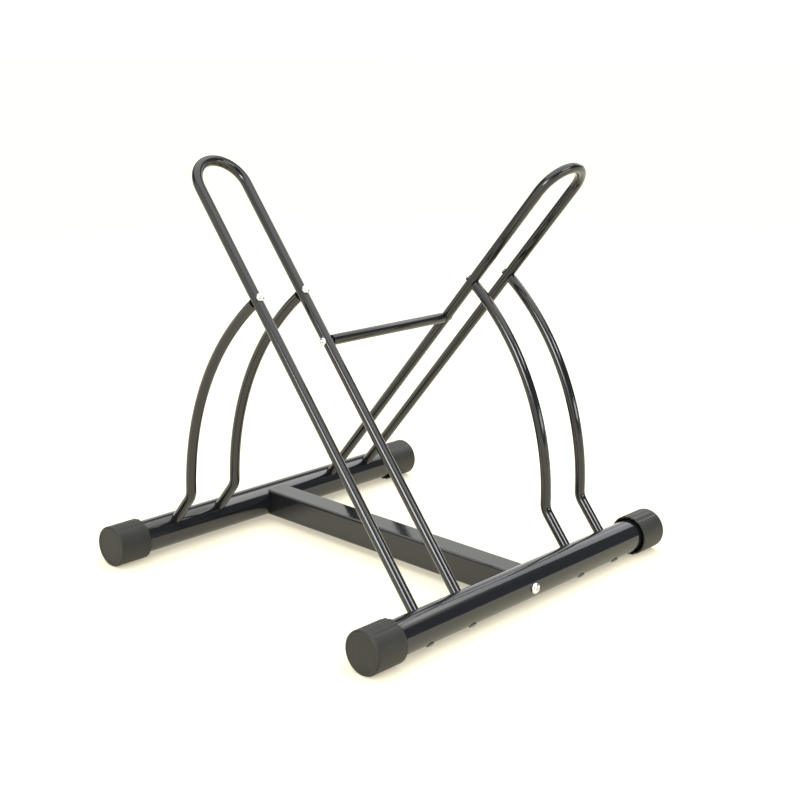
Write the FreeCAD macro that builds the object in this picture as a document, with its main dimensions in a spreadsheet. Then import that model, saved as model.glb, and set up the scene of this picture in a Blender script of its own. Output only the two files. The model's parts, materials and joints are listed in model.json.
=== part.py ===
import FreeCAD, Part
import math
import os
import Sketcher

# Floor rack for two bicycles, in millimetres, +Z up.
# The origin is on the floor in the middle of the rack: +Y runs along the base tubes, -Y is the front,
# and +X runs across them, along the beam.
# A hoop stands in the right base tube and leans left; its two supports stand in the left base tube, rise,
# and curve over to meet its legs squarely. A second hoop with two supports is the same thing turned half
# round the vertical through the origin, and a strut ties the two hoops together where they cross.

Vector = FreeCAD.Vector
os.makedirs("parts", exist_ok=True)
doc = FreeCAD.newDocument("floor_bike_rack")

# Driving dimensions: each is one size of the rack, with its value and what it measures.
sizes = [
    ("tube_spacing", 400, "between the axes of the two base tubes"),
    ("base_tube_dia", 38, "outside diameter of a base tube"),
    ("base_tube_wall", 1.5, "wall of a base tube"),
    ("base_tube_length", 488, "length of a base tube, without its caps"),
    ("cap_wall", 1.9, "wall of a cap's skirt"),
    ("cap_end_wall", 3, "thickness of a cap's closed end"),
    ("cap_skirt", 38, "how far a cap reaches over the tube"),
    ("cap_bevel", 2, "bevel round a cap's closed end"),
    ("cap_lip", 0.8, "bevel round a cap's mouth"),
    ("cap_rib_depth", 2.6, "how far the gripping ribs stand in from the skirt"),
    ("cap_rib_width", 1.6, "thickness of a gripping rib"),
    ("cap_rib_inset", 4, "from a cap's mouth to the start of its ribs"),
    ("cap_rib_count", 12, "gripping ribs in a cap"),
    ("cap_groove_cutter", 5, "diameter of the round groove's form"),
    ("cap_groove_depth", 0.5, "depth of a finger groove"),
    ("cap_groove_length", 34, "length of a finger groove, from the mouth"),
    ("cap_groove_step", 18, "degrees between finger grooves"),
    ("cap_groove_count", 4, "finger grooves on top, and again below"),
    ("beam_width", 32, "outside width and height of the square beam"),
    ("beam_wall", 1.5, "wall of the beam"),
    ("beam_corner", 3, "outside corner radius of the beam"),
    ("nut_plate_inset", 3, "from the base tube to the nut plate in the beam"),
    ("nut_plate_thickness", 4, "thickness of a nut plate"),
    ("rod_dia", 12, "outside diameter of hoops, supports and strut"),
    ("rod_wall", 1.2, "wall of hoops, supports and strut"),
    ("leg_tilt", 39, "degrees that the hoops lean from upright"),
    ("leg_length", 525, "straight length of a leg, from the base tube's axis"),
    ("leg_pitch", 66, "between the two legs of a hoop"),
    ("inner_leg_y", 95, "from the middle of the rack to an inner leg"),
    ("kink_height", 51, "height of a support's kink above the tube's axis"),
    ("kink_radius", 20, "bend radius of the kink"),
    ("strut_height", 250, "height of the strut above the base tubes' axes"),
    ("bush_flange", 1, "thickness of a bush's flange"),
    ("bush_length", 8, "length of a bush behind its flange"),
    ("bush_bevel", 0.8, "bevel on the nose of a bush"),
    ("screw_dia", 5, "shank of the screws"),
    ("screw_length", 25, "length under the head of support and strut screws"),
    ("screw_head_dia", 9.5, "head of support and strut screws"),
    ("screw_head_height", 3.7, "height of that head"),
    ("screw_head_bevel", 1.6, "bevel round the top of that head"),
    ("foot_screw_length", 16, "length under the head of a foot screw"),
    ("foot_screw_head_dia", 9, "head of a foot screw"),
    ("foot_screw_head_height", 1.8, "height of that head"),
    ("foot_screw_head_bevel", 0.9, "bevel round the top of that head"),
    ("bolt_dia", 6, "shank of a beam bolt"),
    ("bolt_length", 50, "length under the head of a beam bolt"),
    ("bolt_head_dia", 12, "head of a beam bolt"),
    ("bolt_head_height", 4.6, "height of that head"),
    ("bolt_head_bevel", 2.4, "bevel round the top of that head"),
    ("recess_arm", 0.55, "span of a cross recess, as a share of the head"),
    ("recess_width", 1.1, "width of an arm of the cross recess"),
    ("recess_depth", 0.5, "depth of the recess, as a share of the head's height"),
    ("thread_bevel", 0.6, "bevel on the end of a shank"),
    ("hole_gap", 0.2, "clearance round a tube in the hole that it passes"),
    ("screw_gap", 0.25, "clearance round a screw in the hole that it passes"),
    ("bush_gap", 0.12, "clearance round a bush, enough for the curved end of a support"),
    ("seat_gap", 0.05, "fit between pieces that touch on round faces"),
    ("strut_gap", 0.1, "fit between the legs and the strut, which meets them a little off square"),
]
dims = doc.addObject("Spreadsheet::Sheet", "dims")
for row, (name, value, note) in enumerate(sizes, start=1):
    dims.set(f"A{row}", name)
    dims.set(f"B{row}", str(value))
    dims.setAlias(f"B{row}", name)
    dims.set(f"C{row}", note)

# Places that follow from the driving dimensions.
# A leg's frame has its origin on the base tube's axis and its Z axis along the leg.
# A support leaves its hole along the other hoop's tilt, turns upright at the kink, and then follows one arc
# that ends square to the leg: kink_to_leg is how far the leg's line is from it at the height where the arc
# starts, and support_bend is the radius that makes the arc end at the leg's surface.
# The strut lies a little above the height where the legs cross in side view, so each end is off to its own
# side by strut_offset, and the strut is turned by strut_skew in plan.
places = [
    ("half_spacing", "dims.tube_spacing / 2"),
    ("tube_radius", "dims.base_tube_dia / 2"),
    ("rod_radius", "dims.rod_dia / 2"),
    ("rod_bore", "dims.rod_dia - 2 * dims.rod_wall"),
    ("cap_bore", "dims.base_tube_dia / 2 + dims.cap_rib_depth"),
    ("axis_height", "cap_bore + dims.cap_wall"),
    ("outer_leg_y", "dims.inner_leg_y + dims.leg_pitch"),
    ("slot_y", "dims.inner_leg_y + dims.leg_pitch / 2"),
    ("seat_depth", "sqrt((tube_radius - dims.base_tube_wall) ^ 2 - rod_radius ^ 2) - dims.seat_gap"),
    ("foot_depth", "seat_depth - dims.bush_flange"),
    ("side_seat", "rod_radius + dims.seat_gap"),
    ("side_end", "side_seat + dims.bush_flange"),
    ("kink_straight", "dims.kink_height / cos(dims.leg_tilt) - dims.kink_radius * tan(dims.leg_tilt / 2)"),
    ("upright_x", "half_spacing - dims.kink_height * tan(dims.leg_tilt)"),
    ("upright_z", "dims.kink_height + dims.kink_radius * tan(dims.leg_tilt / 2)"),
    ("kink_to_leg", "half_spacing + upright_x - upright_z * tan(dims.leg_tilt)"),
    ("support_bend", "kink_to_leg - side_end / cos(dims.leg_tilt)"),
    ("support_end_x", "support_bend * (1 - sin(dims.leg_tilt)) - upright_x"),
    ("support_end_z", "upright_z + support_bend * cos(dims.leg_tilt)"),
    ("meet_x", "(half_spacing - support_end_x) * sin(dims.leg_tilt)"),
    ("meet_length", "meet_x + support_end_z * cos(dims.leg_tilt)"),
    ("strut_on_leg", "dims.strut_height / cos(dims.leg_tilt)"),
    ("strut_offset", "dims.strut_height * tan(dims.leg_tilt) - half_spacing"),
    ("strut_skew", "atan(strut_offset / dims.inner_leg_y)"),
    ("strut_reach", "dims.inner_leg_y / cos(strut_skew)"),
    ("strut_seat", "rod_radius + dims.strut_gap"),
    ("strut_length", "2 * (strut_reach - strut_seat - dims.bush_flange)"),
    ("plate_face_x", "half_spacing - tube_radius - dims.nut_plate_inset"),
]
layout = doc.addObject("Spreadsheet::Sheet", "layout")
for row, (name, formula) in enumerate(places, start=1):
    layout.set(f"A{row}", name)
    layout.set(f"B{row}", "=" + formula)
    layout.setAlias(f"B{row}", name)
doc.recompute()

# A sketch's own numbers for its axes and for the points of an edge.
horizontalAxis, verticalAxis = range(-1, -3, -1)
startPoint, endPoint, centrePoint = range(1, 4)
originPoint = (horizontalAxis, startPoint)


def valueOf(formula):
    return float(dims.evalExpression(formula))


def newBody(label):
    body = doc.addObject("PartDesign::Body", label)
    body.Label = label
    return body


def originOf(body, role):
    return next(feature for feature in body.Origin.OriginFeatures if feature.Role == role)


def newSketch(body, name, plane, height=None):
    # A sketch on one of the body's own planes, lifted by height along that plane's normal.
    sketch = body.newObject("Sketcher::SketchObject", f"{body.Label}_{name}")
    sketch.AttachmentSupport = [(originOf(body, plane), "")]
    sketch.MapMode = "FlatFace"
    if height:
        sketch.setExpression("AttachmentOffset.Base.z", height)
    return sketch


def relate(sketch, *relation):
    sketch.addConstraint(Sketcher.Constraint(*relation))


def dimension(sketch, formula, *relation):
    index = sketch.addConstraint(Sketcher.Constraint(*relation, valueOf(formula)))
    sketch.setExpression(f"Constraints[{index}]", formula)


def angle(sketch, formula, arc):
    index = sketch.addConstraint(Sketcher.Constraint("Angle", arc, math.radians(valueOf(formula))))
    sketch.setExpression(f"Constraints[{index}]", formula)


def pin(sketch, edge, point, x, y):
    # Holds a point at (x, y) from the sketch's origin; 0 puts it on an axis.
    if x == "0":
        relate(sketch, "PointOnObject", edge, point, verticalAxis)
    else:
        dimension(sketch, x, "DistanceX", *originPoint, edge, point)
    if y == "0":
        relate(sketch, "PointOnObject", edge, point, horizontalAxis)
    else:
        dimension(sketch, y, "DistanceY", *originPoint, edge, point)


def addCircle(sketch, diameter, x="0", y="0"):
    centre = Vector(valueOf(x), valueOf(y), 0)
    circle = sketch.addGeometry(Part.Circle(centre, Vector(0, 0, 1), valueOf(diameter) / 2))
    pin(sketch, circle, centrePoint, x, y)
    dimension(sketch, diameter, "Diameter", circle)


def addOutline(sketch, corners):
    # A closed chain of straight edges through the corners.
    points = [Vector(valueOf(x), valueOf(y), 0) for x, y in corners]
    following = points[1:] + points[:1]
    edges = [sketch.addGeometry(Part.LineSegment(a, b)) for a, b in zip(points, following)]
    for edge, after, (x, y) in zip(edges, edges[1:] + edges[:1], corners):
        relate(sketch, "Coincident", edge, endPoint, after, startPoint)
        pin(sketch, edge, startPoint, x, y)


def addRectangle(sketch, left, right, bottom, top):
    addOutline(sketch, [(left, bottom), (right, bottom), (right, top), (left, top)])


def addRoundedSquare(sketch, width, corner):
    # Four sides and four quarter arcs about the origin, starting with the bottom side, going round.
    half = valueOf(width) / 2
    radius = valueOf(corner)
    flat = half - radius
    turns = [FreeCAD.Rotation(Vector(0, 0, 1), 90 * quarter) for quarter in range(4)]
    sides = []
    arcs = []
    for quarter, turn in enumerate(turns):
        start = turn.multVec(Vector(-flat, -half, 0))
        end = turn.multVec(Vector(flat, -half, 0))
        centre = turn.multVec(Vector(flat, -flat, 0))
        circle = Part.Circle(centre, Vector(0, 0, 1), radius)
        first = math.radians(90 * (quarter - 1))
        sides.append(sketch.addGeometry(Part.LineSegment(start, end)))
        arcs.append(sketch.addGeometry(Part.ArcOfCircle(circle, first, first + math.pi / 2)))
    for side, arc, after in zip(sides, arcs, sides[1:] + sides[:1]):
        relate(sketch, "Tangent", side, endPoint, arc, startPoint)
        relate(sketch, "Tangent", arc, endPoint, after, startPoint)
    for arc in arcs[1:]:
        relate(sketch, "Equal", arcs[0], arc)
    relate(sketch, "Horizontal", sides[0])
    relate(sketch, "Vertical", sides[1])
    relate(sketch, "Horizontal", sides[2])
    relate(sketch, "Vertical", sides[3])
    dimension(sketch, corner, "Radius", arcs[0])
    dimension(sketch, f"-({width}) / 2", "DistanceY", *originPoint, sides[0], startPoint)
    dimension(sketch, f"({width}) / 2", "DistanceX", *originPoint, sides[1], startPoint)
    dimension(sketch, f"({width}) / 2", "DistanceY", *originPoint, sides[2], startPoint)
    dimension(sketch, f"-({width}) / 2", "DistanceX", *originPoint, sides[3], startPoint)


def extrude(body, kind, sketch, length, midplane=False, towardNormal=True):
    # A Pad grows along the sketch's normal by itself, and a Pocket cuts against it.
    feature = body.newObject(f"PartDesign::{kind}", f"{sketch.Label}_{kind.lower()}")
    feature.Profile = sketch
    feature.Midplane = midplane
    feature.Reversed = towardNormal == (kind == "Pocket")
    feature.setExpression("Length", length)
    sketch.Visibility = False
    return feature


def pad(body, sketch, length, midplane=False, towardNormal=True):
    return extrude(body, "Pad", sketch, length, midplane, towardNormal)


def pocket(body, sketch, length, midplane=False, towardNormal=True):
    return extrude(body, "Pocket", sketch, length, midplane, towardNormal)


def revolve(body, sketch):
    feature = body.newObject("PartDesign::Revolution", f"{sketch.Label}_turned")
    feature.Profile = sketch
    feature.ReferenceAxis = (sketch, ["V_Axis"])
    feature.Angle = 360
    return feature


def polarPattern(body, feature, count, span):
    # Copies of a feature about the body's Z axis, spread over span degrees.
    pattern = body.newObject("PartDesign::PolarPattern", f"{feature.Label}_pattern")
    pattern.Originals = [feature]
    pattern.Axis = (originOf(body, "Z_Axis"), [""])
    pattern.setExpression("Angle", span)
    pattern.setExpression("Occurrences", count)
    body.Tip = pattern
    return pattern


def addTubeSection(sketch, x="0", y="0"):
    addCircle(sketch, "dims.rod_dia", x, y)
    addCircle(sketch, "layout.rod_bore", x, y)


# Placements. A step is a shift and a turn about one axis; steps multiply from the rack's frame inwards.
axes = {"x": "vector(1; 0; 0)", "y": "vector(0; 1; 0)", "z": "vector(0; 0; 1)"}


def step(x="0", y="0", z="0", axis="z", degrees="0"):
    return f"placement(vector({x}; {y}; {z}); rotation({axes[axis]}; {degrees}))"


halfTurn = step(axis="z", degrees="180")
outwardX = step(axis="y", degrees="90")
downward = step(axis="x", degrees="180")


def place(body, steps, turned):
    # Binds the body's place, turned half round the rack's middle for the second of each pair.
    chain = [halfTurn] + steps if turned else steps
    body.setExpression("Placement", " * ".join(chain))


def hoopLeg(legY):
    # Frame of a leg of the front hoop, in the right base tube, leaning left.
    return step("layout.half_spacing", f"-({legY})", "layout.axis_height", "y", "-dims.leg_tilt")


def supportFoot(legY):
    # Frame of a foot of the front hoop's supports, in the left base tube, leaning right.
    return step("-layout.half_spacing", f"-({legY})", "layout.axis_height", "y", "dims.leg_tilt")


strutFrame = [step("0", "0", "layout.axis_height + dims.strut_height", "z", "-layout.strut_skew")]
legs = {"inner": "dims.inner_leg_y", "outer": "layout.outer_leg_y"}


def baseTube(label, turned):
    # Lies along Y, drilled for two legs and two supports: large holes above, screw holes below.
    body = newBody(label)
    section = newSketch(body, "section", "XZ_Plane")
    addCircle(section, "dims.base_tube_dia")
    addCircle(section, "dims.base_tube_dia - 2 * dims.base_tube_wall")
    pad(body, section, "dims.base_tube_length", midplane=True)
    drillings = {
        "leg_holes": ("dims.rod_dia + 2 * dims.hole_gap", True),
        "screw_holes": ("dims.screw_dia + 2 * dims.screw_gap", False),
    }
    for name, (diameter, upward) in drillings.items():
        holes = newSketch(body, name, "XY_Plane")
        holes.AttachmentOffset = FreeCAD.Placement(Vector(), FreeCAD.Rotation(Vector(0, 1, 0), 1))
        holes.setExpression("AttachmentOffset.Rotation.Angle", "dims.leg_tilt")
        for legY in legs.values():
            addCircle(holes, diameter, "0", legY)
            addCircle(holes, diameter, "0", f"-({legY})")
        pocket(body, holes, "dims.base_tube_dia", towardNormal=upward)
    boltHole = newSketch(body, "bolt_hole", "YZ_Plane")
    addCircle(boltHole, "dims.bolt_dia + 2 * dims.screw_gap")
    pocket(body, boltHole, "2 * dims.base_tube_dia", midplane=True)
    place(body, [step("-layout.half_spacing", "0", "layout.axis_height")], turned)
    return body


def endCap(label, sideX, turned):
    # A moulded cup. Its Z axis points out of the tube, from the tube's end; ribs inside grip the tube.
    body = newBody(label)
    section = newSketch(body, "section", "XZ_Plane")
    addOutline(section, [
        ("0", "0"),
        ("layout.cap_bore", "0"),
        ("layout.cap_bore", "-dims.cap_skirt"),
        ("layout.axis_height - dims.cap_lip", "-dims.cap_skirt"),
        ("layout.axis_height", "dims.cap_lip - dims.cap_skirt"),
        ("layout.axis_height", "dims.cap_end_wall - dims.cap_bevel"),
        ("layout.axis_height - dims.cap_bevel", "dims.cap_end_wall"),
        ("0", "dims.cap_end_wall"),
    ])
    revolve(body, section)
    rib = newSketch(body, "rib", "XY_Plane")
    addRectangle(
        rib,
        "-dims.cap_rib_width / 2",
        "dims.cap_rib_width / 2",
        "layout.tube_radius + dims.seat_gap",
        "layout.cap_bore + dims.cap_wall / 2",
    )
    ribPad = pad(body, rib, "dims.cap_skirt - dims.cap_rib_inset", towardNormal=False)
    polarPattern(body, ribPad, "dims.cap_rib_count", "360")
    grooves = newSketch(body, "grooves", "XY_Plane", "-dims.cap_skirt")
    reach = "(layout.axis_height + dims.cap_groove_cutter / 2 - dims.cap_groove_depth)"
    spread = "((dims.cap_groove_count - 1) * dims.cap_groove_step)"
    firstX = f"{reach} * sin({spread} / 2)"
    firstY = f"{reach} * cos({spread} / 2)"
    for side in ("", "-"):
        addCircle(grooves, "dims.cap_groove_cutter", side + firstX, side + firstY)
    grooveCut = pocket(body, grooves, "dims.cap_groove_length")
    polarPattern(body, grooveCut, "dims.cap_groove_count", spread)
    place(body, [step(sideX, "-dims.base_tube_length / 2", "layout.axis_height", "x", "90")], turned)
    return body


def crossBeam(label):
    # Square tube whose ends are cut round to sit on the base tubes.
    body = newBody(label)
    section = newSketch(body, "section", "YZ_Plane")
    addRoundedSquare(section, "dims.beam_width", "dims.beam_corner")
    addRoundedSquare(section, "dims.beam_width - 2 * dims.beam_wall", "dims.beam_corner - dims.beam_wall")
    pad(body, section, "dims.tube_spacing", midplane=True)
    saddles = newSketch(body, "saddles", "XZ_Plane")
    for side in ("", "-"):
        addCircle(saddles, "dims.base_tube_dia + 2 * dims.seat_gap", f"{side}layout.half_spacing")
    pocket(body, saddles, "2 * dims.beam_width", midplane=True)
    place(body, [step(z="layout.axis_height")], False)
    return body


def nutPlate(label, turned):
    # Welded between the beam's walls, clear of its rounded corners.
    body = newBody(label)
    section = newSketch(body, "section", "YZ_Plane")
    addRoundedSquare(section, "dims.beam_width - 2 * dims.beam_wall", "dims.beam_corner")
    addCircle(section, "dims.bolt_dia + 2 * dims.seat_gap")
    pad(body, section, "dims.nut_plate_thickness")
    place(body, [step("-layout.plate_face_x", "0", "layout.axis_height")], turned)
    return body


def screw(label, kind, turned, steps):
    # A shank along -Z under a bevelled head with a cross recess. Z is 0 under the head.
    body = newBody(label)
    profile = newSketch(body, "profile", "XZ_Plane")
    shank = "dims.bolt_dia" if kind == "bolt" else "dims.screw_dia"
    head = f"dims.{kind}_head"
    addOutline(profile, [
        ("0", f"-dims.{kind}_length"),
        (f"{shank} / 2 - dims.thread_bevel", f"-dims.{kind}_length"),
        (f"{shank} / 2", f"dims.thread_bevel - dims.{kind}_length"),
        (f"{shank} / 2", "0"),
        (f"{head}_dia / 2", "0"),
        (f"{head}_dia / 2", f"{head}_height - {head}_bevel"),
        (f"{head}_dia / 2 - {head}_bevel", f"{head}_height"),
        ("0", f"{head}_height"),
    ])
    revolve(body, profile)
    recess = newSketch(body, "recess", "XY_Plane", f"{head}_height")
    arm = f"dims.recess_arm * {head}_dia / 2"
    addRectangle(recess, f"-{arm}", arm, "-dims.recess_width / 2", "dims.recess_width / 2")
    slot = pocket(body, recess, f"dims.recess_depth * {head}_height", towardNormal=False)
    polarPattern(body, slot, "2", "90")
    place(body, steps, turned)
    return body


def bush(label, turned, steps):
    # A threaded bush pressed into a tube's end, its flange on the end. Z is 0 on the flange's outer face.
    body = newBody(label)
    profile = newSketch(body, "profile", "XZ_Plane")
    inner = "dims.screw_dia / 2 + dims.seat_gap"
    barrel = "layout.rod_bore / 2 - dims.bush_gap"
    tail = "-(dims.bush_flange + dims.bush_length)"
    addOutline(profile, [
        (inner, "0"),
        ("layout.rod_radius", "0"),
        ("layout.rod_radius", "-dims.bush_flange"),
        (barrel, "-dims.bush_flange"),
        (barrel, f"{tail} + dims.bush_bevel"),
        (f"{barrel} - dims.bush_bevel", tail),
        (inner, tail),
    ])
    revolve(body, profile)
    place(body, steps, turned)
    return body


def sweep(body, section, spine):
    feature = body.newObject("PartDesign::AdditivePipe", f"{body.Label}_tube")
    feature.Profile = section
    feature.Spine = (spine, [])
    return feature


def hoop(label, turned):
    # Two straight legs and the half circle that joins them, in the plane of the slot's two sides.
    # The origin is midway between the legs on the base tube's axis; the inner leg is at +Y.
    body = newBody(label)
    spine = newSketch(body, "spine", "YZ_Plane")
    bend = valueOf("dims.leg_pitch / 2")
    straight = valueOf("dims.leg_length")
    foot = -valueOf("layout.foot_depth")
    circle = Part.Circle(Vector(0, straight, 0), Vector(0, 0, 1), bend)
    inner = spine.addGeometry(Part.LineSegment(Vector(bend, foot, 0), Vector(bend, straight, 0)))
    arc = spine.addGeometry(Part.ArcOfCircle(circle, 0, math.pi))
    outer = spine.addGeometry(Part.LineSegment(Vector(-bend, straight, 0), Vector(-bend, foot, 0)))
    relate(spine, "Vertical", inner)
    pin(spine, inner, startPoint, "dims.leg_pitch / 2", "-layout.foot_depth")
    dimension(spine, "dims.leg_length", "DistanceY", *originPoint, inner, endPoint)
    relate(spine, "Tangent", inner, endPoint, arc, startPoint)
    dimension(spine, "dims.leg_pitch / 2", "Radius", arc)
    relate(spine, "Tangent", arc, endPoint, outer, startPoint)
    relate(spine, "Vertical", outer)
    relate(spine, "Horizontal", inner, startPoint, outer, endPoint)
    section = newSketch(body, "section", "XY_Plane", "-layout.foot_depth")
    addTubeSection(section, "0", "dims.leg_pitch / 2")
    sweep(body, section, spine)
    screwHole = "dims.screw_dia + 2 * dims.screw_gap"
    supportHoles = newSketch(body, "support_holes", "YZ_Plane")
    for side in ("", "-"):
        addCircle(supportHoles, screwHole, f"{side}dims.leg_pitch / 2", "layout.meet_length")
    pocket(body, supportHoles, "2 * dims.rod_dia", midplane=True)
    strutHole = newSketch(body, "strut_hole", "XZ_Plane")
    addCircle(strutHole, screwHole, "0", "layout.strut_on_leg")
    pocket(body, strutHole, "dims.leg_pitch / 2 + dims.rod_dia", towardNormal=False)
    place(body, [hoopLeg("layout.slot_y")], turned)
    return body


def support(label, legY, turned):
    # Rises along its hole, turns upright at the kink and curves over, all in one plane.
    body = newBody(label)
    spine = newSketch(body, "spine", "XZ_Plane")
    tilt = math.radians(valueOf("dims.leg_tilt"))
    kinkRadius = valueOf("dims.kink_radius")
    bendRadius = valueOf("layout.support_bend")
    kinkStart = Vector(0, valueOf("layout.kink_straight"), 0)
    towardMiddle = Vector(math.cos(tilt), math.sin(tilt), 0)
    kinkCentre = kinkStart - Vector(kinkRadius, 0, 0)
    bendCentre = kinkCentre + towardMiddle * (kinkRadius + bendRadius)
    kinkCircle = Part.Circle(kinkCentre, Vector(0, 0, 1), kinkRadius)
    bendCircle = Part.Circle(bendCentre, Vector(0, 0, 1), bendRadius)
    foot = spine.addGeometry(Part.LineSegment(Vector(0, -valueOf("layout.foot_depth"), 0), kinkStart))
    kink = spine.addGeometry(Part.ArcOfCircle(kinkCircle, 0, tilt))
    bend = spine.addGeometry(Part.ArcOfCircle(bendCircle, math.pi / 2 + 2 * tilt, math.pi + tilt))
    relate(spine, "Vertical", foot)
    pin(spine, foot, startPoint, "0", "-layout.foot_depth")
    dimension(spine, "layout.kink_straight", "DistanceY", *originPoint, foot, endPoint)
    relate(spine, "Tangent", foot, endPoint, kink, startPoint)
    dimension(spine, "dims.kink_radius", "Radius", kink)
    angle(spine, "dims.leg_tilt", kink)
    relate(spine, "Tangent", kink, endPoint, bend, endPoint)
    dimension(spine, "layout.support_bend", "Radius", bend)
    angle(spine, "90 - dims.leg_tilt", bend)
    section = newSketch(body, "section", "XY_Plane", "-layout.foot_depth")
    addTubeSection(section)
    sweep(body, section, spine)
    place(body, [supportFoot(legY)], turned)
    return body


def crossStrut(label):
    # Straight tube between the inner legs, where the two hoops cross.
    body = newBody(label)
    section = newSketch(body, "section", "XZ_Plane")
    addTubeSection(section)
    pad(body, section, "layout.strut_length", midplane=True)
    place(body, strutFrame, False)
    return body


def group(label, bodies):
    # Identical fasteners: separate solids under one name.
    compound = doc.addObject("Part::Compound", label)
    compound.Label = label
    compound.Links = bodies
    return compound


# Steps from a leg's frame to what is screwed into it.
footSeat = [step(z="-layout.seat_depth"), downward]
underTube = [step(z="-layout.tube_radius"), downward]
overLeg = [step("layout.rod_radius", "0", "layout.meet_length"), outwardX]
underLeg = [step("-layout.side_seat", "0", "layout.meet_length"), outwardX]
strutScrewSeat = strutFrame + [step("0", "-(layout.strut_reach + layout.strut_seat)", "0", "x", "90")]
strutBushSeat = strutFrame + [step("0", "-(layout.strut_reach - layout.strut_seat)", "0", "x", "90")]
boltSeat = [step("layout.half_spacing + layout.tube_radius", "0", "layout.axis_height"), outwardX]

# The two halves of the rack. The first has the front hoop and its supports.
# Turned half round, the left base tube becomes the right one and the front caps become the back ones.
halves = [("front", "left", "right", False), ("back", "right", "left", True)]
nodes = []
fasteners = {}


def fasten(name, made):
    fasteners.setdefault(name, []).append(made)


for end, near, far, turned in halves:
    nodes.append(baseTube(f"base_tube_{near}", turned))
    nodes.append(endCap(f"end_cap_{near}_{end}", "-layout.half_spacing", turned))
    nodes.append(endCap(f"end_cap_{far}_{end}", "layout.half_spacing", turned))
    nodes.append(nutPlate(f"beam_nut_plate_{near}", turned))
    nodes.append(hoop(f"hoop_{end}", turned))
    for side, legY in legs.items():
        nodes.append(support(f"support_{end}_{side}", legY, turned))
        leg = hoopLeg(legY)
        foot = supportFoot(legY)
        label = f"{end}_{side}"
        fasten("support_screws", screw(f"support_screw_{label}", "screw", turned, [leg] + overLeg))
        fasten("support_top_bushes", bush(f"support_top_bush_{label}", turned, [leg] + underLeg))
        fasten("hoop_foot_bushes", bush(f"hoop_foot_bush_{label}", turned, [leg] + footSeat))
        fasten("support_foot_bushes", bush(f"support_foot_bush_{label}", turned, [foot] + footSeat))
        fasten("foot_screws", screw(f"hoop_foot_screw_{label}", "foot_screw", turned, [leg] + underTube))
        fasten("foot_screws", screw(f"support_foot_screw_{label}", "foot_screw", turned, [foot] + underTube))
    fasten("strut_screws", screw(f"strut_screw_{end}", "screw", turned, strutScrewSeat))
    fasten("strut_bushes", bush(f"strut_bush_{end}", turned, strutBushSeat))
    fasten("beam_bolts", screw(f"beam_bolt_{end}", "bolt", turned, boltSeat))
nodes.append(crossBeam("cross_beam"))
nodes.append(crossStrut("cross_strut"))
nodes += [group(name, bodies) for name, bodies in fasteners.items()]

doc.recompute()
for item in doc.Objects:
    if "Invalid" in item.State or "Error" in item.State:
        raise RuntimeError(f"{item.Label} could not be made: {item.State}")
    if item.TypeId == "PartDesign::Pocket" and item.Shape.Volume >= item.BaseFeature.Shape.Volume:
        raise RuntimeError(f"{item.Label} cuts nothing")
for node in nodes:
    if node.Shape.isNull() or not node.Shape.isValid():
        raise RuntimeError(f"{node.Label} has no sound shape")
for node in nodes:
    node.Shape.exportStep(f"parts/{node.Label}.step")
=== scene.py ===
import json
import math

import bpy
import numpy as np
from mathutils import Matrix, Vector


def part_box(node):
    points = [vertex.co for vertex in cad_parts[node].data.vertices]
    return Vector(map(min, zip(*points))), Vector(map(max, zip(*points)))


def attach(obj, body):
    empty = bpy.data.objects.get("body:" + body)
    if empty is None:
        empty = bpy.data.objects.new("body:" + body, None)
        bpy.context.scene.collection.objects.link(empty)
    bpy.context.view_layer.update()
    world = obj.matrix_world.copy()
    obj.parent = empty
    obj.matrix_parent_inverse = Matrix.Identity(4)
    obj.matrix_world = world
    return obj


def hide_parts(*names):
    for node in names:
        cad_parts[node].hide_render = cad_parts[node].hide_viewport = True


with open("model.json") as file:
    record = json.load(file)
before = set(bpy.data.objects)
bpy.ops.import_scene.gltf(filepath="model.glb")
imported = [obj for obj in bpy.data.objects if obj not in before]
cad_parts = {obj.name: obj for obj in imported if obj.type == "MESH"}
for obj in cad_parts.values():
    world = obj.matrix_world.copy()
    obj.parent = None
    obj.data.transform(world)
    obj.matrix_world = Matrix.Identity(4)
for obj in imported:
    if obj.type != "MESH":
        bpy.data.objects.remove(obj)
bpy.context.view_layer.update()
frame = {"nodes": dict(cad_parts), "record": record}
nodes = frame["nodes"]
print("frame loaded:", len(nodes), "nodes")


# The camera stands where the photograph was taken from.
cameraSetup = {
    "azimuth": 42.471,        # degrees, 0 looks along +Y
    "elevation": 15.184,
    "roll": 0.909,
    "lens": 63.86,            # millimetres, like the sensor
    "sensor": 36,
    "farthest": 20,           # metres
    "place": (1.06713, -1.14546, 0.61495),
}


def makeCamera(setup):
    # the view's axes from azimuth and elevation, then turned by the roll about the line of sight
    a, e, r = (math.radians(setup[key]) for key in ("azimuth", "elevation", "roll"))
    back = Vector((math.sin(a) * math.cos(e), -math.cos(a) * math.cos(e), math.sin(e)))
    right = Vector((math.cos(a), math.sin(a), 0))
    up = back.cross(right)
    across = right * math.cos(r) + up * math.sin(r)
    upward = up * math.cos(r) - right * math.sin(r)
    camera = bpy.data.objects.new("camera", bpy.data.cameras.new("camera"))
    camera.data.lens = setup["lens"]
    camera.data.sensor_width = setup["sensor"]
    camera.data.clip_end = setup["farthest"]
    turn = Matrix((across, upward, back)).transposed()
    camera.matrix_world = Matrix.Translation(setup["place"]) @ turn.to_4x4()
    bpy.context.scene.collection.objects.link(camera)
    bpy.context.scene.camera = camera


makeCamera(cameraSetup)
print("camera placed")


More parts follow.
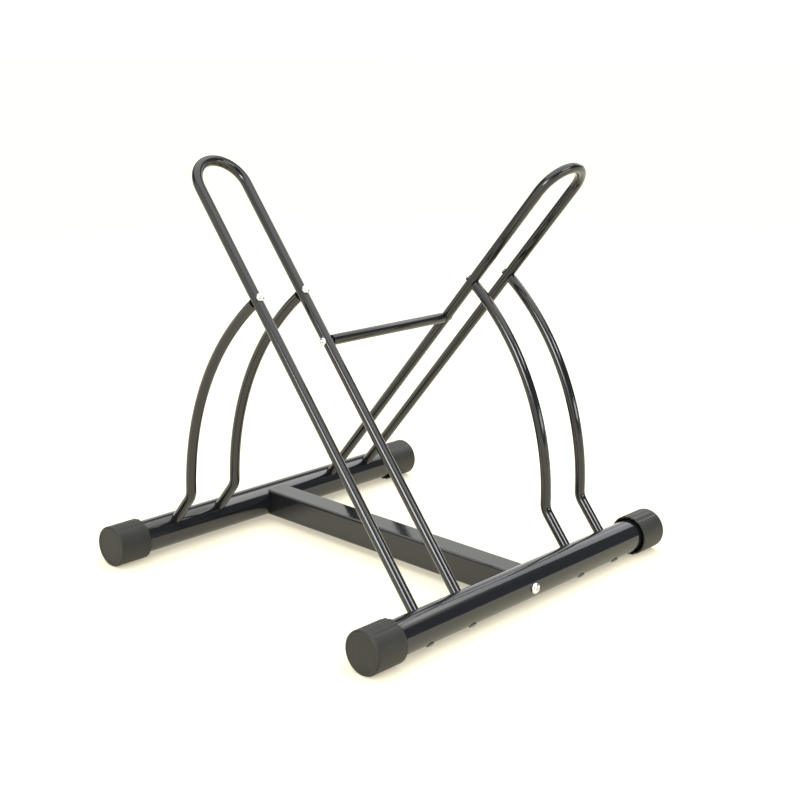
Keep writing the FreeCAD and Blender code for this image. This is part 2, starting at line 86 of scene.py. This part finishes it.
# An over-lit white floor under a white ceiling, with a white wall behind the rack, another in front of it and
# a pale band round the horizon. Between them the room is dim and bluish, which is what the gloss tubes mirror
# as their dark bands. Heights are sines of elevation, and each pair of edges goes from dark to lit.
studio = {
    "floorHalf": 30.0,
    "floorColor": (0.6, 0.562, 0.45, 1),
    "floorGlow": 0.65,
    "floorRoughness": 0.9,
    "floorSpecular": 0.1,
    "roomColor": (0.185, 0.21, 0.23, 1),
    "lightColor": (1, 0.985, 0.93, 1),
    "wallStrength": 1.12,
    "wallToward": (-0.68, 0.73, 0),    # direction of the wall's middle, about 1 long
    "wallSide": (0.62, 0.86),          # the wall fades in between these cosines from its middle
    "wallTop": (0.52, 0.42),           # and fades out between these heights
    "ceilingStrength": 2.25,
    "ceilingEdge": (0.64, 0.72),       # the ceiling fades in between these heights
    "ceilingEnd": (0.74, 0.66),        # and out between these shares of +Y
    "horizonStrength": 1.5,
    "horizonTop": (0.08, 0.04),        # the pale band round the horizon fades out between these heights
    "frontStrength": 1.4,
    "frontSide": (-0.6, -0.85),        # the front wall, towards -Y, fades in between these shares of +Y
    "frontFoot": (0, 0.12),            # and in again between these heights
    "frontTop": (0.7, 0.55),           # and out between these heights
}
lamps = {
    # name: (place, aimed at, width, height, watts)
    "frontPanel": ((0.62, -2.14, 0.93), (0.1, -0.16, 0.15), 0.8, 0.8, 24),
    "sideStrip": ((1.66, 0.39, 1.5), (0.1, -0.13, 0.1), 0.9, 0.3, 8),
    "lowStrip": ((2.2, 0.5, 0.66), (0.14, 0.09, 0.18), 1.5, 0.28, 9.5),
    "backPanel": ((-0.075, 1.0, 0.75), (-0.075, 1.0, 0), 0.75, 1.1, 5.4),
}


def newMaterial(name, values):
    # a material whose shader takes the values that are the same all over the surface
    material = bpy.data.materials.new(name)
    material.use_nodes = True
    shader = material.node_tree.nodes["Principled BSDF"]
    for socket, value in values.items():
        shader.inputs[socket].default_value = value
    return material


def makeFloor(setup):
    half = setup["floorHalf"]
    corners = [(-half, -half, 0), (half, -half, 0), (half, half, 0), (-half, half, 0)]
    mesh = bpy.data.meshes.new("floor")
    mesh.from_pydata(corners, [], [(0, 1, 2, 3)])
    floor = bpy.data.objects.new("floor", mesh)
    mesh.materials.append(newMaterial("studioFloor", {
        "Base Color": setup["floorColor"],
        "Roughness": setup["floorRoughness"],
        "Specular IOR Level": setup["floorSpecular"],
        "Emission Color": setup["floorColor"],
        "Emission Strength": setup["floorGlow"],
    }))
    bpy.context.scene.collection.objects.link(floor)


def makeLamp(name, place, target, width, height, watts):
    light = bpy.data.lights.new(name, "AREA")
    light.shape = "RECTANGLE"
    light.size = width
    light.size_y = height
    light.energy = watts
    lamp = bpy.data.objects.new(name, light)
    lamp.location = place
    lamp.rotation_euler = (Vector(target) - Vector(place)).to_track_quat("-Z", "Y").to_euler()
    bpy.context.scene.collection.objects.link(lamp)


def mapRange(tree, value, given, wanted, kind="LINEAR"):
    # value, taken from the given range to the wanted one
    node = tree.nodes.new("ShaderNodeMapRange")
    node.interpolation_type = kind
    node.inputs["From Min"].default_value, node.inputs["From Max"].default_value = given
    node.inputs["To Min"].default_value, node.inputs["To Max"].default_value = wanted
    tree.links.new(value, node.inputs["Value"])
    return node.outputs["Result"]


def fade(tree, value, edges):
    # 0 before the first edge and 1 past the second, smooth between; the first may be the higher one
    return mapRange(tree, value, edges, (0, 1), "SMOOTHSTEP")


def combine(tree, operation, result, *others):
    # the first value with each of the others in turn, each a socket or a plain number
    for other in others:
        node = tree.nodes.new("ShaderNodeMath")
        node.operation = operation
        tree.links.new(result, node.inputs[0])
        if isinstance(other, (int, float)):
            node.inputs[1].default_value = other
        else:
            tree.links.new(other, node.inputs[1])
        result = node.outputs["Value"]
    return result


def makeWorld(setup):
    # the light from a direction is the room's, plus the strongest of the wall's, the horizon's, the ceiling's
    # and the front wall's
    world = bpy.data.worlds.new("studioWorld")
    world.use_nodes = True
    tree = world.node_tree
    direction = tree.nodes.new("ShaderNodeTexCoord").outputs["Generated"]
    facing = tree.nodes.new("ShaderNodeVectorMath")
    facing.operation = "DOT_PRODUCT"
    facing.inputs[1].default_value = setup["wallToward"]
    tree.links.new(direction, facing.inputs[0])
    parts = tree.nodes.new("ShaderNodeSeparateXYZ")
    tree.links.new(direction, parts.inputs["Vector"])
    toWall, toBack, height = facing.outputs["Value"], parts.outputs["Y"], parts.outputs["Z"]
    areas = {
        "wall": ((toWall, "wallSide"), (height, "wallTop")),
        "horizon": ((height, "horizonTop"),),
        "ceiling": ((height, "ceilingEdge"), (toBack, "ceilingEnd")),
        "front": ((toBack, "frontSide"), (height, "frontFoot"), (height, "frontTop")),
    }
    lit = []
    for area, bounds in areas.items():
        shares = [fade(tree, value, setup[edges]) for value, edges in bounds]
        lit.append(combine(tree, "MULTIPLY", *shares, setup[f"{area}Strength"]))
    white = tree.nodes["Background"]
    white.inputs["Color"].default_value = setup["lightColor"]
    tree.links.new(combine(tree, "MAXIMUM", *lit), white.inputs["Strength"])
    room = tree.nodes.new("ShaderNodeBackground")
    room.inputs["Color"].default_value = setup["roomColor"]
    both = tree.nodes.new("ShaderNodeAddShader")
    tree.links.new(white.outputs["Background"], both.inputs[0])
    tree.links.new(room.outputs["Background"], both.inputs[1])
    tree.links.new(both.outputs["Shader"], tree.nodes["World Output"].inputs["Surface"])
    bpy.context.scene.world = world


makeFloor(studio)
for lampName, lampSetup in lamps.items():
    makeLamp(lampName, *lampSetup)
makeWorld(studio)
bpy.context.scene.view_settings.view_transform = "Standard"
print("studio ready")


# Finishes, in Object coordinates and metres. "noises" gives each noise's scale, detail and roughness. "tones"
# names the noise that goes between two colours, with its value at each. "bump" names the noise that raises
# the surface, with strength and distance. "gloss" names the noise that varies the roughness, with the noise's
# range and the roughness at its two ends. "shader" holds what is the same all over.

# gloss black: a low ripple of orange peel, fine specks of dust, and patches that are a little duller
powderCoat = {
    "noises": {"peel": (420, 2, 0.5), "haze": (14, 4, 0.6), "specks": (1400, 1, 0.5)},
    "tones": ("specks", (0.62, (0.006, 0.0065, 0.008, 1)), (0.8, (0.02, 0.021, 0.024, 1))),
    "bump": ("peel", 0.06, 0.0004),
    "gloss": ("haze", (0.3, 0.75), (0.06, 0.14)),
    "shader": {"IOR": 1.55},
}

# soft dark grey moulding: fine grain, faint pale scuffs
capPlastic = {
    "noises": {"grain": (1100, 3, 0.6), "cloud": (60, 4, 0.65)},
    "tones": ("cloud", (0.42, (0.011, 0.011, 0.0095, 1)), (0.72, (0.018, 0.018, 0.0155, 1))),
    "bump": ("grain", 0.25, 0.0003),
    "gloss": ("cloud", (0, 1), (0.42, 0.62)),
    "shader": {"Specular IOR Level": 0.4},
}

# oiled black oxide: dark, a little uneven, rubbed paler in small patches
blackenedSteel = {
    "noises": {"patches": (500, 4, 0.65), "grain": (3000, 2, 0.5)},
    "tones": ("patches", (0.45, (0.16, 0.158, 0.15, 1)), (0.7, (0.26, 0.255, 0.24, 1))),
    "bump": ("grain", 0.15, 0.0002),
    "shader": {"Metallic": 0.5, "Roughness": 0.42},
}

# bright zinc: pale metal, dulled in patches, with a fine grain
zincPlate = {
    "noises": {"patches": (350, 3, 0.6), "marks": (2600, 2, 0.5)},
    "tones": ("patches", (0.35, (0.86, 0.865, 0.87, 1)), (0.75, (0.6, 0.61, 0.62, 1))),
    "bump": ("marks", 0.1, 0.0002),
    "shader": {"Metallic": 1.0, "Roughness": 0.22},
}


def makeFinish(name, setup):
    material = newMaterial(name, setup["shader"])
    tree = material.node_tree
    shader = tree.nodes["Principled BSDF"]
    where = tree.nodes.new("ShaderNodeTexCoord").outputs["Object"]
    noises = {}
    for key, values in setup["noises"].items():
        texture = tree.nodes.new("ShaderNodeTexNoise")
        for socket, value in zip(("Scale", "Detail", "Roughness"), values):
            texture.inputs[socket].default_value = value
        tree.links.new(where, texture.inputs["Vector"])
        noises[key] = texture.outputs["Fac"]
    toned, *stops = setup["tones"]
    ramp = tree.nodes.new("ShaderNodeValToRGB")
    for element, (value, color) in zip(ramp.color_ramp.elements, stops):
        element.position = value
        element.color = color
    tree.links.new(noises[toned], ramp.inputs["Fac"])
    tree.links.new(ramp.outputs["Color"], shader.inputs["Base Color"])
    raised, strength, distance = setup["bump"]
    bump = tree.nodes.new("ShaderNodeBump")
    bump.inputs["Strength"].default_value = strength
    bump.inputs["Distance"].default_value = distance
    tree.links.new(noises[raised], bump.inputs["Height"])
    tree.links.new(bump.outputs["Normal"], shader.inputs["Normal"])
    if "gloss" in setup:
        varied, given, wanted = setup["gloss"]
        tree.links.new(mapRange(tree, noises[varied], given, wanted), shader.inputs["Roughness"])
    return material


# by the record's material slots
finishes = {
    "gloss_black_steel": makeFinish("glossBlackCoat", powderCoat),
    "matte_black_plastic": makeFinish("capPlastic", capPlastic),
    "zinc_steel": makeFinish("zincPlate", zincPlate),
    "blackened_steel": makeFinish("blackenedSteel", blackenedSteel),
}


def dressNodes():
    # every CAD node takes the finish of the record's material slot
    for part in frame["record"]["subparts"]:
        node = nodes[part["node"]]
        finish = finishes[part["material_slot"]]
        for place in node.material_slots:
            place.material = finish


dressNodes()
print("finishes on", len(nodes), "nodes")


# Finer pieces, made of closed skins: rings of points that start and end in a single middle point.
def smoothStep(value, start, end):
    # 0 before start and 1 past end, with s * s * (3 - 2 s) between; start may be above end
    share = np.clip((value - start) / (end - start), 0, 1)
    return share * share * (3 - 2 * share)


def arcTo(line, middle, radius, first, last, count):
    # the line carried on by points middle + radius * (cos a, sin a), with a from first to last in degrees
    turn = np.radians(np.linspace(first, last, count))[1:]
    arc = np.stack([middle[0] + radius * np.cos(turn), middle[1] + radius * np.sin(turn)], axis=1)
    return np.concatenate([line, arc])


def lineTo(line, end, count):
    # the line carried on straight from its last point to end, in count equal steps
    share = np.linspace(0, 1, count + 1)[1:, None]
    return np.concatenate([line, line[-1] * (1 - share) + np.array(end) * share])


def closeRings(rings):
    # rings (n, m, 3), the first and last of them shrunk to a point: triangles at the two ends, and faces with
    # four sides between
    count, around = rings.shape[0] - 2, rings.shape[1]
    places = np.concatenate([rings[0, :1], rings[1:-1].reshape(-1, 3), rings[-1, :1]])
    here = np.arange(around)
    beside = (here + 1) % around
    rows = 1 + np.arange(count - 1)[:, None] * around
    quads = np.stack([rows + here, rows + around + here, rows + around + beside, rows + beside], axis=2)
    lastRow = 1 + (count - 1) * around
    firstFan = np.stack([np.zeros(around, int), 1 + here, 1 + beside], axis=1)
    lastFan = np.stack([lastRow + here, np.full(around, len(places) - 1), lastRow + beside], axis=1)
    return places, quads.reshape(-1, 4).tolist() + firstFan.tolist() + lastFan.tolist()


def makePiece(name, skins, slotName, replaced):
    # one object from several closed skins, standing for the CAD nodes that it replaces
    places, faces, start = [], [], 0
    for skinPlaces, skinFaces in skins:
        places.append(skinPlaces)
        faces += [[corner + start for corner in face] for face in skinFaces]
        start += len(skinPlaces)
    mesh = bpy.data.meshes.new(name)
    mesh.from_pydata(np.concatenate(places).tolist(), [], faces)
    mesh.polygons.foreach_set("use_smooth", [True] * len(mesh.polygons))
    mesh.materials.append(finishes[slotName])
    piece = bpy.data.objects.new(name, mesh)
    bpy.context.scene.collection.objects.link(piece)
    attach(piece, "root")
    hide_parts(*replaced)


# The rack's own lines, in metres. A leg's line starts on a base tube's axis and leans by the tilt.
rack = {
    "halfSpacing": 0.2,
    "axisHeight": 0.0235,
    "tubeRadius": 0.019,
    "rodRadius": 0.006,
    "tilt": math.radians(39),
    "legs": (0.095, 0.161),
    "strutHeight": 0.25,
}

capShape = {
    "radius": 0.0235,
    "bore": 0.0216,
    "skirt": 0.038,
    "endWall": 0.003,
    "rimRound": 0.0024,
    "mouthRound": 0.0008,
    "ringRadius": 0.0185,         # the fine ring sunk in the closed end
    "ringWidth": 0.0011,
    "ringDepth": 0.00035,
    "faceDish": 0.0003,           # the closed end sinks by this
    "dishWidth": 0.004,           # over this length from its rim
    "fluteAngles": (-27, -9, 9, 27),   # degrees from the top, and again from the bottom
    "fluteWidth": 15,             # degrees
    "fluteDepth": 0.00065,
    "fluteRun": (-0.0005, -0.0045),    # the flutes fade in between these distances from the tube's end
    "ribs": 12,
    "ribHalf": 0.0008,            # half a rib's width
    "ribInset": 0.004,
    "ribRise": 0.0002,            # length over which a rib stands up from the bore
    "ribRadius": 0.01905,
    "around": 288,
    "steps": {"face": 70, "rim": 12, "skirt": 60, "lip": 6, "mouth": 2, "inset": 4, "rise": 1, "bore": 12,
              "floor": 8},
}


def capSkin(shape, sideX, endY):
    # (r, z) goes over the closed end, round the rim, down the skirt, in at the mouth and back along the bore.
    # The closed end is lower by a bell curve at the ring and by a smooth step inside its rim. Outside, r
    # loses a raised cosine at each flute; inside, r drops to the ribs' radius where a rib is.
    radius, rim, lip, bore = shape["radius"], shape["rimRound"], shape["mouthRound"], shape["bore"]
    top, mouth, steps = shape["endWall"], -shape["skirt"], shape["steps"]
    face = np.linspace(0, radius - rim, steps["face"])
    ring = np.exp(-((face - shape["ringRadius"]) / (shape["ringWidth"] / 2)) ** 2)
    dish = smoothStep(radius - rim - face, 0, shape["dishWidth"])
    faceHeight = top - shape["ringDepth"] * ring - shape["faceDish"] * dish
    line = np.stack([face, faceHeight], axis=1)
    line = arcTo(line, (radius - rim, top - rim), rim, 90, 0, steps["rim"])
    line = lineTo(line, (radius, mouth + lip), steps["skirt"])
    line = arcTo(line, (radius - lip, mouth + lip), lip, 0, -90, steps["lip"])
    line = lineTo(line, (bore, mouth), steps["mouth"])
    outsideEnd = len(line)
    line = lineTo(line, (bore, mouth + shape["ribInset"]), steps["inset"])
    line = lineTo(line, (bore, mouth + shape["ribInset"] + shape["ribRise"]), steps["rise"])
    line = lineTo(line, (bore, 0), steps["bore"])
    line = lineTo(line, (0, 0), steps["floor"])
    outside = (np.arange(len(line)) < outsideEnd)[:, None]
    turn = np.radians(np.linspace(0, 360, shape["around"], endpoint=False))
    r, z = line[:, 0, None], line[:, 1, None]
    fromTop = (np.degrees(turn) + 90) % 180 - 90
    flute = sum(0.5 + 0.5 * np.cos(np.pi * np.clip((fromTop - at) / shape["fluteWidth"] * 2, -1, 1))
                for at in shape["fluteAngles"])
    ribTurn = (turn * shape["ribs"] / (2 * math.pi) + 0.5) % 1 - 0.5
    onRib = np.abs(ribTurn) * 2 * math.pi * bore / shape["ribs"] < shape["ribHalf"]
    inBore = (r >= bore) & (z > mouth + shape["ribInset"]) & ~outside
    r = r - shape["fluteDepth"] * flute * (outside * smoothStep(z, *shape["fluteRun"]))
    r = np.where(onRib & inBore, shape["ribRadius"], r)
    way = math.copysign(1, endY)
    across = sideX - way * r * np.sin(turn)
    upward = rack["axisHeight"] + r * np.cos(turn)
    return closeRings(np.stack([across, endY + way * z + 0 * r, upward], axis=2))


def makeCaps(shape):
    for side, sideX in (("left", -rack["halfSpacing"]), ("right", rack["halfSpacing"])):
        for end, way in (("front", -1), ("back", 1)):
            node = f"end_cap_{side}_{end}"
            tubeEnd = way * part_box(f"base_tube_{side}")[1][1]
            skin = capSkin(shape, sideX, tubeEnd)
            makePiece(f"moulded_cap_{side}_{end}", [skin], "matte_black_plastic", [node])


makeCaps(capShape)
print("caps moulded")


# Cross-recessed screws with domed heads, in metres. "edge" is the upright part of a head's height. The foot
# screws are eight in one piece and small, so they have fewer points around.
screwShapes = {
    "screw": {"head": 0.00475, "height": 0.0037, "edge": 0.0011, "shank": 0.0025, "length": 0.025,
              "pitch": 0.0008, "around": 96},
    "foot": {"head": 0.0045, "height": 0.0018, "edge": 0.0006, "shank": 0.0025, "length": 0.016,
             "pitch": 0.0008, "around": 60},
    "bolt": {"head": 0.006, "height": 0.0046, "edge": 0.0012, "shank": 0.003, "length": 0.05,
             "pitch": 0.001, "around": 96},
}
recess = {
    "reach": 0.52,        # of the head's radius
    "halfWidth": 0.00055,
    "depth": 0.5,         # of the head's height, in the middle
    "rise": 0.5,          # share of that depth lost at the arms' ends
    "soft": 0.00012,
}
turning = {
    "underBevel": 0.0002,      # round the underside of the head
    "tip": 0.0006,
    "threadSwing": 0.05,       # of the shank's radius, half the thread's depth
    "threadFrom": 0.9,         # share of the shank's radius outside which the thread is cut
    "crown": (90, 45, 44),     # the dome's degrees, from and to, and points: finer where the recess is
    "brow": (45, 0, 14),
    "steps": {"edge": 3, "bevel": 1, "under": 3, "perThread": 6, "tip": 2, "end": 2},
}


def screwSkin(shape, seat, outward):
    # The head is half an ellipse over a short upright edge, less a cross that grows shallower along its arms.
    # On the shank r loses the swing times 1 - cos(2 pi z / pitch - turn), which is a helical thread.
    head, height, edge, shank = (shape[key] for key in ("head", "height", "edge", "shank"))
    bevel, tip, end, steps = turning["underBevel"], turning["tip"], -shape["length"], turning["steps"]
    climb = np.radians(np.concatenate([np.linspace(*turning["crown"]), np.linspace(*turning["brow"])[1:]]))
    line = np.stack([head * np.cos(climb), edge + (height - edge) * np.sin(climb)], axis=1)
    line = lineTo(line, (head, bevel), steps["edge"])
    line = lineTo(line, (head - bevel, 0), steps["bevel"])
    line = lineTo(line, (shank, 0), steps["under"])
    headEnd = len(line)
    threads = int(shape["length"] / shape["pitch"])
    line = lineTo(line, (shank, end + tip), threads * steps["perThread"])
    line = lineTo(line, (shank - tip, end), steps["tip"])
    line = lineTo(line, (0, end), steps["end"])
    inHead = (np.arange(len(line)) < headEnd)[:, None]
    turn = np.radians(np.linspace(0, 360, shape["around"], endpoint=False))
    r, z = line[:, 0, None], line[:, 1, None]
    x, y = np.abs(r * np.cos(turn)), np.abs(r * np.sin(turn))
    along, across = np.maximum(x, y), np.minimum(x, y)
    reach = recess["reach"] * head
    cross = smoothStep(across, recess["halfWidth"] + recess["soft"], recess["halfWidth"])
    cross = cross * smoothStep(along, reach + recess["soft"], reach)
    onTop = inHead & (z > edge)
    z = z - cross * onTop * recess["depth"] * height * (1 - recess["rise"] * along / reach)
    threaded = ~inHead & (r > turning["threadFrom"] * shank)
    swing = 1 - np.cos(2 * math.pi * z / shape["pitch"] - turn)
    r = r * (1 - turning["threadSwing"] * threaded * swing)
    outward = np.array(outward) / np.linalg.norm(outward)
    level = np.cross(outward, (0, 0, 1))
    level = level / np.linalg.norm(level)
    upright = np.cross(outward, level)
    rings = (np.array(seat) + (r * np.cos(turn))[..., None] * level + (r * np.sin(turn))[..., None] * upright
             + z[..., None] * outward)
    return closeRings(rings)


def legLines():
    # start, direction and the direction square to it, for each leg of a hoop and each foot of a support.
    # Front and back are the same thing turned half round.
    sine, cosine = math.sin(rack["tilt"]), math.cos(rack["tilt"])
    lines = {"hoop": [], "support": []}
    for way in (1, -1):
        for legY in rack["legs"]:
            for kind, side in (("hoop", way), ("support", -way)):
                start = np.array((side * rack["halfSpacing"], -way * legY, rack["axisHeight"]))
                along = np.array((-side * sine, 0, cosine))
                outward = np.array((side * cosine, 0, sine))
                lines[kind].append((start, along, outward))
    return lines


def meetLength(leg):
    # how far along this leg its support is screwed on, the same on every leg: the middle of the stretch that
    # the CAD screw there covers
    start, along, _ = leg
    screws = np.array([vertex.co for vertex in nodes["support_screws"].data.vertices])
    here = screws[np.abs(screws[:, 1] - start[1]) < rack["rodRadius"]]
    reach = (here - start) @ along
    return (reach.min() + reach.max()) / 2


def strutEnds():
    # the strut runs between the inner legs where both reach its height, and its screws sit outside them
    middle = np.array((0, 0, rack["axisHeight"] + rack["strutHeight"]))
    offset = rack["strutHeight"] * math.tan(rack["tilt"]) - rack["halfSpacing"]
    toFront = np.array((-offset, -rack["legs"][0], 0))
    reach = np.linalg.norm(toFront)
    direction = toFront / reach
    return [(middle + way * direction * (reach + rack["rodRadius"]), way * direction) for way in (1, -1)]


def makeScrews(shapes):
    lines = legLines()
    meet = meetLength(lines["hoop"][0])
    onLegs = [screwSkin(shapes["screw"], start + along * meet + outward * rack["rodRadius"], outward)
              for start, along, outward in lines["hoop"]]
    makePiece("domed_support_screws", onLegs, "zinc_steel", ["support_screws"])
    below = [screwSkin(shapes["foot"], start - along * rack["tubeRadius"], -along)
             for start, along, _ in lines["hoop"] + lines["support"]]
    makePiece("domed_foot_screws", below, "blackened_steel", ["foot_screws"])
    beside = [screwSkin(shapes["screw"], seat, outward) for seat, outward in strutEnds()]
    makePiece("domed_strut_screws", beside, "zinc_steel", ["strut_screws"])
    boltSeat = rack["halfSpacing"] + rack["tubeRadius"]
    bolts = [screwSkin(shapes["bolt"], (way * boltSeat, 0, rack["axisHeight"]), (way, 0, 0))
             for way in (1, -1)]
    makePiece("domed_beam_bolts", bolts, "zinc_steel", ["beam_bolts"])


makeScrews(screwShapes)
print("screws turned")
